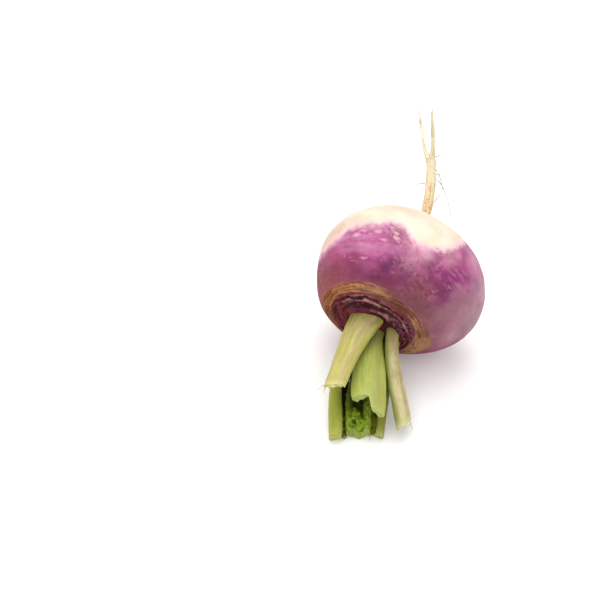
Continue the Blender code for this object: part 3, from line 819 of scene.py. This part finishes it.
# Rootlets: a start along the tap root (0 to 1), then the steps from it to the next points, in mm.
ROOTLETS = (
    (0.15, ((1.6, 1.4, -2.6), (3.2, 3, -6), (4.2, 4, -9))),
    (0.38, ((3.7, -1.2, -0.5), (8.7, -5.6, 3.4), (13.3, -11.5, 9.9))),
    (0.41, ((2.5, -0.2, -1), (5, -0.8, -2), (7.5, -0.9, -3.3))),
    (0.47, ((3.4, -0.8, 1.4), (6.4, -3.6, 4.4), (8, -7.6, 6.8))),
    (0.3, ((-2.4, -1.2, -2), (-5.5, -2.4, -3.4), (-9, -4.8, -3))),
    (0.55, ((1.6, -2, -3), (2.2, -4.6, -7), (2, -7, -12))),
    (0.22, ((0.6, -2.6, -1.6), (0.2, -5.8, -4), (-1.4, -9, -6))),
    (0.68, ((-2, 0.8, -3), (-3, 1, -7.4), (-3.2, 0, -12))),
)
ROOTLET_RADII = (0.3, 0.25, 0.2, 0.12)


def strand(points, radii):
    """Rows of place and radius, the radii in mm."""
    return np.column_stack([points, MM * np.array(radii)])


def strand_grid(points, rings, segments, wrinkle, seed):
    """A furrowed, tapering strand along rows of place and radius, in the turnip's own frame."""
    path = path_at(points, np.linspace(0, 1, rings))
    centre, radius = path[:, :3], np.maximum(path[:, 3], 0.05 * MM)[:, None]
    along = unit(np.gradient(centre, axis=0))
    side = unit(np.cross(along, np.array([0, 1, 0.2])))[:, None, :]
    up = np.cross(side, along[:, None, :])
    turn = circle(segments)
    outward = side * np.cos(turn)[None, :, None] + up * np.sin(turn)[None, :, None]
    length = np.concatenate([[0], np.cumsum(np.linalg.norm(np.diff(centre, axis=0), axis=1))])[:, None]
    shape = (rings, segments)
    place = np.stack([radius * np.cos(turn) * 1.4, radius * np.sin(turn) * 1.4,
                      np.broadcast_to(length, shape)], -1)
    furrow = fractal(place * (1, 1, 0.12), 1, seed)
    crease = noise(place * (0.3, 0.3, 1), 0.8, seed + 3)
    crease = -step_up(crease, 0.15, 0.6) * (0.35 + 0.65 * np.exp(-length / (9 * MM)))
    knot = noise(place * (0.15, 0.15, 1), 6, seed + 5)
    swell = 1 + wrinkle * (0.6 * furrow + 0.9 * crease + 0.9 * knot)
    grid = centre[:, None, :] + outward * (radius * swell)[..., None]
    along = np.broadcast_to(length / 0.03, shape)
    return grid, {"own": place, "crease": -crease, "furrow": furrow, "along": along}


def root_material():
    paint = Paint("root_bark")
    own = paint.attribute("own", "Vector")
    grain = paint.noise(own, (1100, 1100, 110), 4)
    bark = paint.over("#C69C6E", "#CDBD9E", "along", 0, 1)
    bark = paint.over(bark, "#BAB290", "along", 1.1, 1.6)
    bark = paint.over(bark, "#DCD6C0", "fair", 0.85)
    bark = paint.over(bark, "#D2C5A0", grain, 0.4, 0.62, 0, 0.5)
    bark = paint.over(bark, "#A07A4C", "furrow", -0.1, -0.6, 0, 0.6)
    bark = paint.over(bark, "#946238", "crease", 0.12, 0.75, 0, 0.72)
    normal = paint.bump(grain, 0.00014)
    return paint.finish(bark, paint.span(grain, 0.3, 0.7, 0.5, 0.7), normal, 0.1, 0.0015, 0.3)


def rootlet_material():
    paint = Paint("rootlet")
    own = paint.attribute("own", "Vector")
    grain = paint.noise(own, (900, 900, 300))
    shade = paint.over("#A49E8C", "#B8B09A", grain, 0.35, 0.65)
    rough = paint.span(grain, 0.3, 0.7, 0.55, 0.75)
    return paint.finish(shade, rough, paint.bump(grain, 0.00005), 0.1, 0.0005, 0.2)


def build_roots():
    parts = []
    for points, rings, segments, seed in ((TAP_ROOT, 330, 48, 61), (FORK_ROOT, 170, 28, 71)):
        grid, masks = strand_grid(points, rings, segments, 0.14, seed)
        if points is FORK_ROOT:
            masks["along"] = masks["along"] + 0.9
        masks["fair"] = np.full(grid.shape[:2], float(points is FORK_ROOT))
        parts.append(tube_part(lay_down(grid), masks))
    add_piece("tap_root", parts, root_material())
    parts = []
    for index, (start, steps) in enumerate(ROOTLETS):
        origin = path_at(TAP_ROOT[:, :3], np.array([start]))[0]
        points = strand(origin + MM * np.array([(0, 0, 0), *steps]), ROOTLET_RADII)
        grid, masks = strand_grid(points, 60, 8, 0.2, 201 + index)
        parts.append(tube_part(lay_down(grid), masks))
    add_piece("rootlets", parts, rootlet_material())


# Leaf stalks

STALK_RINGS = 130
STALK_SEGMENTS = 112
CUT_REACH = 0.25
CUT_STEPS = 7
# Edges sharper than this angle (degrees) are not smoothed, so that the cut face keeps its rim.
STALK_SHARP = 48
FIBRE_RADII = (0.14, 0.11, 0.08, 0.06)


def stalk_frames(spec, t):
    """Centres, side, outer and along directions, and section sizes along a stalk."""
    centre = path_at(MM * np.array(spec["path"]), t)
    ease = step_up(t, 0, 0.9)
    *sizes, facing = [start + (end - start) * ease for start, end in zip(spec["start"], spec["end"])]
    facing = np.radians(facing)
    along = unit(np.gradient(centre, axis=0))
    outer = np.stack([np.cos(facing), np.sin(facing), np.zeros_like(facing)], -1)
    side = unit(np.cross(outer, along))
    return centre, side, np.cross(along, side), along, [size * MM for size in sizes]


def stalk_table(spec, seed):
    """A stalk's displaced skin with its cut end, and the masks that colour it."""
    t = np.linspace(0, 1, STALK_RINGS)
    centre, side, outer, along, sizes = stalk_frames(spec, t)
    width, thickness, groove = (values[:, None] for values in sizes)
    turn = circle(STALK_SEGMENTS)[None, :]
    tip = step_up(t, 0.93, 1)[:, None]
    across = 0.5 * width * (1 - 0.07 * tip) * np.cos(turn)
    rise = 0.5 * thickness * np.sin(turn)
    shape = across.shape
    inner = step_up(-np.sin(turn), 0, 0.35)
    hollow = groove * np.exp(-np.abs(across / (0.27 * width)) ** 2.6) * inner
    length = t[:, None] * np.linalg.norm(np.diff(centre, axis=0), axis=1).sum()

    place = np.stack([across, rise, np.broadcast_to(length, shape)], -1)
    waver = 0.45 * MM * fractal(place * (1, 1, 0.4), 4, seed)
    ribs = np.sin(2 * pi * (across + waver) / (1.5 * MM))
    ribs = ribs * step_up(fractal(place * (1, 1, 0.3), 3, seed + 3), -0.4, 0.5)
    fibre = fractal(place * (1, 1, 0.08), 0.9, seed + 7)
    lump = fractal(place, 6, seed + 13)
    crumple = fractal(place, 1.8, seed + 17) * spec.get("crumple", 0) * inner
    lift = 0.12 * MM + 0.035 * MM * ribs + 0.05 * MM * fibre + 0.25 * MM * lump + crumple * MM
    outwards = unit(np.stack([np.cos(turn) / width, np.sin(turn) / thickness], -1))
    across = across + outwards[..., 0] * lift
    rise = rise + outwards[..., 1] * lift + hollow

    cut_side, cut_out = spec["cut"]
    slope = cut_side * across
    if "tear" in spec:
        slope = np.interp(across / width, *zip(*spec["tear"])) * MM
    flat = place * (1, 1, 0)
    ragged = 0.7 * MM * (noise(flat, 1.1, seed + 19) + 0.5 * noise(flat, 0.45, seed + 21))
    shift = step_up(t, 1 - CUT_REACH, 1)[:, None] * (slope + cut_out * rise)
    shift = shift + ragged * step_up(t, 0.955, 1)[:, None]
    grid = (centre[:, None, :] + side[:, None, :] * across[..., None]
            + outer[:, None, :] * rise[..., None] + along[:, None, :] * shift[..., None])

    # Margins are the stalks' greener edges; on the right stalk the strong dark one is partly painted
    # shade.
    left, right = spec["margins"]
    margin = np.maximum(left * np.exp(-((np.cos(turn) + 1) / 0.22) ** 2),
                        right * np.exp(-((np.cos(turn) - 1) / 0.12) ** 2))
    streak = np.exp(-((place[..., 0] / width - spec["streak_at"]) / 0.13) ** 2) * (1 - inner)
    masks = {"inner": inner * np.exp(-(place[..., 0] / (0.4 * width)) ** 4), "along": t[:, None],
             "cut": 0.0, "bundle": 0.0, "margin": margin, "streak": streak,
             "pit": step_up(-crumple, 0.05, 0.4), "lip": tip}
    masks = {name: np.broadcast_to(values, shape) for name, values in masks.items()}
    return cut_end(grid, {"own": place, **masks}, along[-1], seed)


def cut_end(grid, masks, along, seed):
    """Vertices, faces and masks of a stalk: its skin, a closed base, and a fibrous cut face that
    runs straight across the wall from outer to inner side."""
    rings, segments = grid.shape[:2]
    columns = segments // 2
    steps = np.linspace(0, 1, CUT_STEPS + 2)[1:-1]
    outer_rim, inner_rim = grid[-1, 1:columns], grid[-1, -1:columns:-1]
    cut = outer_rim[:, None, :] + (inner_rim - outer_rim)[:, None, :] * steps[None, :, None]
    pores = noise(cut, 0.6, seed + 23)
    inside = np.sin(pi * steps)[None, :]
    cut = cut - along * ((0.16 * MM * inside + 0.14 * MM * pores * inside)[..., None])

    count, rim = rings * segments, (rings - 1) * segments
    column = np.arange(1, columns)[:, None]
    middle = count + 1 + np.arange((columns - 1) * CUT_STEPS).reshape(-1, CUT_STEPS)
    table = np.hstack([rim + column, middle, rim + segments - column])
    faces = [face for face in grid_faces(rings, segments) if count + 1 not in face]
    faces += table_faces(table, rim, rim + columns)
    points = np.vstack([grid.reshape(-1, 3), grid[0].mean(axis=0)[None], cut.reshape(-1, 3)])
    on_cut = {"cut": np.ones(cut.shape[:2]), "bundle": step_up(noise(cut, 1, seed + 29), 0.2, 0.6),
              "own": np.repeat(masks["own"][-1, 1:columns], CUT_STEPS, axis=0)}
    rows = {}
    for name, values in masks.items():
        flat = values.reshape(rings * segments, -1)
        face = on_cut.get(name, np.zeros(cut.shape[:2])).reshape(-1, flat.shape[1])
        rows[name] = np.vstack([flat, flat[:segments].mean(axis=0)[None], face])
    return points, faces, rows


def loose_fibres(spec, masks, seed):
    """A few fine torn fibres that stand out from a cut end."""
    draws = np.random.default_rng(seed)
    centre, side, outer, along, (width, _, _) = stalk_frames(spec, np.array([0.97, 0.985, 1]))
    steps = np.array([[0, 0.35, 0.7, 1]]).T
    parts = []
    for place in spec.get("fibres", ()):
        start = centre[1] + side[1] * width[1] * (place + draws.uniform(-0.06, 0.06))
        way = unit(along[1] + side[1] * draws.normal(1.2 * place, 0.35) - outer[1] * draws.uniform(0, 0.5))
        bend = side[1] * draws.normal(0, 0.8) - outer[1] * 0.6
        length = draws.uniform(2.2, 4.6) * MM
        points = strand(start + way * length * steps + bend * MM * steps ** 2, FIBRE_RADII)
        grid, _ = strand_grid(points, 24, 6, 0.2, seed)
        rows = {name: np.zeros(grid.shape[:2]) for name in masks}
        rows.update(own=grid, lip=np.ones(grid.shape[:2]))
        points, faces, rows = tube_part(grid, rows)
        parts.append((lay_down(points), faces, rows))
    return parts


def stalk_material(name, spec):
    paint = Paint(name, dict(zip(STALK_SHADES, spec["shades"].split())))
    own = paint.attribute("own", "Vector")
    grain = paint.noise(own, (1300, 1300, 90), 4)
    broad = paint.noise(own, (380, 380, 70))
    cloud = paint.span(paint.noise(own, 210, 4), 0.36, 0.64)
    blotch = paint.span(paint.noise(own, 130, 5, 0.6), 0.42, 0.6)
    # Darker towards the base: partly the stalks' own colour, partly painted shade where they shade one
    # another.
    near_base = paint.span(paint.attribute("along"), 0.14, 0.62, 1, 0)
    skin = "skin"
    for shade, weight, *ends in (
            ("base", near_base, 0.9), ("streak", "streak", 0.6), ("face", broad, 0.44, 0.66, 0, 0.28),
            ("base", grain, 0.46, 0.62, 0, 0.24), ("streak", cloud, 0.3), ("margin", blotch, 0.3),
            ("margin", "margin", 0.85), ("face", "lip", 0.45)):
        skin = paint.over(skin, shade, weight, *ends)
    # The groove's shade: dark on four of the stalks, partly painted shade where the groove lies in shadow.
    hollow = paint.over("inner", "margin", broad, 0.4, 0.6, 0, 0.35)
    pith = paint.noise(own, 640, 5, 0.65)
    hollow = paint.over(hollow, "#A4BA5C", pith, 0.5, 0.62, 0, 0.5)
    damp = paint.noise(own, 500, 5, 0.65)
    hollow = paint.over(hollow, "#304402", damp, 0.5, 0.61, 0, 0.68)
    # Painted shade: darker green in the dips of the crumpled groove.
    hollow = paint.over(hollow, "#304402", "pit", 0.95)
    # Painted shade: the groove is darkened almost to black except near the cut.
    depth = paint.maths("ADD", paint.attribute("along"), paint.span(broad, 0.4, 0.6, -0.04, 0.07))
    hollow = paint.over(hollow, "#141E02", depth, 0.76, 0.88, 0.92, 0)
    skin = paint.over(skin, hollow, "inner")
    face = paint.over("face", "margin", "bundle", 0.5)
    face = paint.over(face, "base", paint.noise(own, 1400), 0.5, 0.7, 0, 0.4)
    skin = paint.over(skin, face, "cut")
    normal = paint.bump(grain, 0.00008)
    rough = paint.span(grain, 0.3, 0.7, 0.38, 0.52)
    shine = paint.span(paint.attribute("inner"), 0, 1, 0.25, 0.05)
    return paint.finish(skin, rough, normal, 0.1, 0.002, paint.gloss(shine))


def build_stalks():
    for index, (name, spec) in enumerate(LEAF_STALKS.items()):
        points, faces, masks = stalk_table(spec, 101 + 40 * index)
        parts = [(lay_down(points), faces, masks)] + loose_fibres(spec, masks, 301 + index)
        skin_name = name.replace("leaf_stalk", "stalk_skin")
        material = stalk_material(skin_name, spec)
        add_piece(skin_name, parts, material, [name], STALK_SHARP)


# Stage, light and camera

FLOOR_HALF = 4
FLOOR_FINISH = {"Base Color": (0.74, 0.74, 0.74, 1), "Roughness": 0.9, "Specular IOR Level": 0.1,
                "Emission Color": (1, 0.95, 0.9, 1), "Emission Strength": 0.16}
SKY_STRENGTH = 0.84
LIGHT_AIM = (0, 0, 0.03)
# Round softboxes: place, width, power in watts and tint.
SOFTBOXES = {
    "key_softbox": ((-0.16, 0.3, 1.08), 1.1, 8.1, (1, 0.99, 0.97)),
    "front_softbox": ((0.14, -0.5, 0.97), 1.2, 5.4, (1, 1, 1)),
}
CAMERA_AZIMUTH = 24.6
CAMERA_ELEVATION = 40
CAMERA_DISTANCE = 0.6
CAMERA_LENS = 82.8
SENSOR_WIDTH = 36
AIM_LEFT = 0.044
AIM_DOWN = 0.0086


def add_floor():
    corners = [(x * FLOOR_HALF, y * FLOOR_HALF, 0) for x, y in ((-1, -1), (1, -1), (1, 1), (-1, 1))]
    mesh = bpy.data.meshes.new("floor")
    mesh.from_pydata(corners, [], [(0, 1, 2, 3)])
    paint = Paint("floor_white")
    paint.feed(paint.tree.nodes["Principled BSDF"], FLOOR_FINISH)
    mesh.materials.append(paint.material)
    floor = add_object("floor", mesh)


def add_lights():
    world = bpy.data.worlds.new("white_room")
    world.use_nodes = True
    sky = world.node_tree.nodes["Background"]
    sky.inputs["Color"].default_value = (1, 1, 1, 1)
    sky.inputs["Strength"].default_value = SKY_STRENGTH
    bpy.context.scene.world = world
    for name, (place, width, power, tint) in SOFTBOXES.items():
        light = bpy.data.lights.new(name, "AREA")
        light.shape = "DISK"
        light.size = width
        light.energy = power
        light.color = tint
        lamp = add_object(name, light)
        lamp.location = place
        lamp.rotation_euler = (Vector(LIGHT_AIM) - Vector(place)).to_track_quat("-Z", "Y").to_euler()


def add_camera():
    azimuth, elevation = radians(CAMERA_AZIMUTH), radians(CAMERA_ELEVATION)
    back = Vector((sin(azimuth) * cos(elevation), -cos(azimuth) * cos(elevation),
                   sin(elevation)))
    right = Vector((cos(azimuth), sin(azimuth), 0))
    up = back.cross(right)
    data = bpy.data.cameras.new("camera")
    data.lens = CAMERA_LENS
    data.sensor_width = SENSOR_WIDTH
    camera = add_object("camera", data)
    camera.location = Vector(BELLY_CENTRE) + back * CAMERA_DISTANCE - right * AIM_LEFT - up * AIM_DOWN
    camera.rotation_euler = (-back).to_track_quat("-Z", "Y").to_euler()
    bpy.context.scene.camera = camera


def main():
    add_floor()
    add_lights()
    add_camera()
    build_skin()
    build_scales()
    build_roots()
    build_stalks()
    bpy.context.scene.view_settings.view_transform = "Standard"


main()
